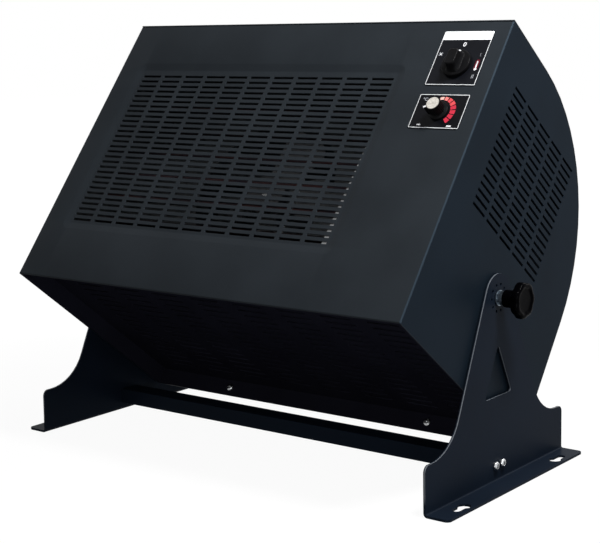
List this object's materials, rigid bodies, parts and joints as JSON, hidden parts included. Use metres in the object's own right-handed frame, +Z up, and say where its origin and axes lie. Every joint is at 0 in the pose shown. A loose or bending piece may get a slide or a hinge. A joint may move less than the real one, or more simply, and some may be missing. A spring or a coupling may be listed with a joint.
{
  "type": "fan heater",
  "caption": "Box-shaped electric fan heater with slotted panels and two rotary knobs, tilting between two foot brackets joined by a tube and held by star-shaped clamp knobs",
  "frame": {"origin": "middle of the overall size in X and Y, on the plane of the two foot flanges", "axes": "+X towards the side with the controls, -Y the slotted front, +Z up from the foot flanges"},
  "size_m": [0.6844, 0.4164, 0.546],
  "materials": {
    "casing_paint": "satin, fine-textured anthracite powder coat",
    "grille_paint": "satin black powder coat",
    "stand_paint": "satin, fine-textured anthracite powder coat",
    "zinc_steel": "bright zinc plating",
    "black_plastic": "fine-grained black",
    "plate_print": "printed label plate, satin gloss",
    "bright_cap": "spun metal disc",
    "galvanised_sheet": "galvanised sheet",
    "element_steel": "heat-tinted stainless rod",
    "cast_aluminium": "as cast",
    "fan_aluminium": "pressed, plain",
    "white_plastic": "moulded, plain"
  },
  "bodies": {
    "stand": {"cross_tube": "stand_paint", "right_bracket": "stand_paint", "right_tube_bolt_a": "zinc_steel", "right_tube_bolt_b": "zinc_steel", "right_pivot_washer": "zinc_steel", "left_bracket": "stand_paint", "left_tube_bolt_a": "zinc_steel", "left_tube_bolt_b": "zinc_steel", "left_pivot_washer": "zinc_steel"},
    "casing": {"right_pivot_spacer": "black_plastic", "right_pivot_nut": "zinc_steel", "right_pivot_boss": "galvanised_sheet", "left_pivot_spacer": "black_plastic", "left_pivot_nut": "zinc_steel", "left_pivot_boss": "galvanised_sheet", "front_panel": "casing_paint", "right_side_panel": "casing_paint", "left_side_panel": "casing_paint", "wrap_cover": "casing_paint", "lower_grille": "grille_paint", "right_grille_screw": "zinc_steel", "left_grille_screw": "zinc_steel", "cable_gland": "black_plastic", "selector_plate": "plate_print", "thermostat_plate": "plate_print", "selector_switch": "white_plastic", "thermostat_housing": "white_plastic", "heater_box": "galvanised_sheet", "heating_element_1": "element_steel", "heating_element_2": "element_steel", "heating_element_3": "element_steel", "heating_element_4": "element_steel", "heating_element_5": "element_steel", "heating_element_6": "element_steel", "fan_shroud": "galvanised_sheet", "motor_bracket": "galvanised_sheet", "fan_motor": "cast_aluminium", "thermal_cutout": "white_plastic", "terminal_block": "white_plastic"},
    "right_clamp": {"right_clamp_knob": "black_plastic", "right_clamp_stud": "zinc_steel"},
    "left_clamp": {"left_clamp_knob": "black_plastic", "left_clamp_stud": "zinc_steel"},
    "selector": {"selector_knob": "black_plastic"},
    "thermostat_dial": {"thermostat_knob": "black_plastic", "thermostat_knob_cap": "bright_cap"},
    "fan": {"fan_impeller": "fan_aluminium", "motor_shaft": "zinc_steel"}
  },
  "joints": [
    {"name": "casing_tilt", "type": "hinge", "parent": "stand", "child": "casing", "pos_m": [0, -0.00743, 0.222], "axis": [1, 0, 0], "range_deg": [-7, 75]},
    {"name": "right_clamp_turn", "type": "hinge", "parent": "casing", "child": "right_clamp", "pos_m": [0.3296, -0.00743, 0.222], "axis": [1, 0, 0], "range_deg": [0, 360]},
    {"name": "left_clamp_turn", "type": "hinge", "parent": "casing", "child": "left_clamp", "pos_m": [-0.3296, -0.00743, 0.222], "axis": [-1, 0, 0], "range_deg": [0, 360]},
    {"name": "selector_turn", "type": "hinge", "parent": "casing", "child": "selector", "pos_m": [0.246, -0.00137, 0.49374], "axis": [0, -0.7923, 0.6101], "range_deg": [-120, 60]},
    {"name": "thermostat_turn", "type": "hinge", "parent": "casing", "child": "thermostat_dial", "pos_m": [0.246, -0.04225, 0.44066], "axis": [0, -0.7923, 0.6101], "range_deg": [-253, 13]},
    {"name": "fan_spin", "type": "hinge", "parent": "casing", "child": "fan", "pos_m": [-0.0462, 0.00603, 0.31816], "axis": [0, -0.7923, 0.6101], "continuous": true}
  ]
}
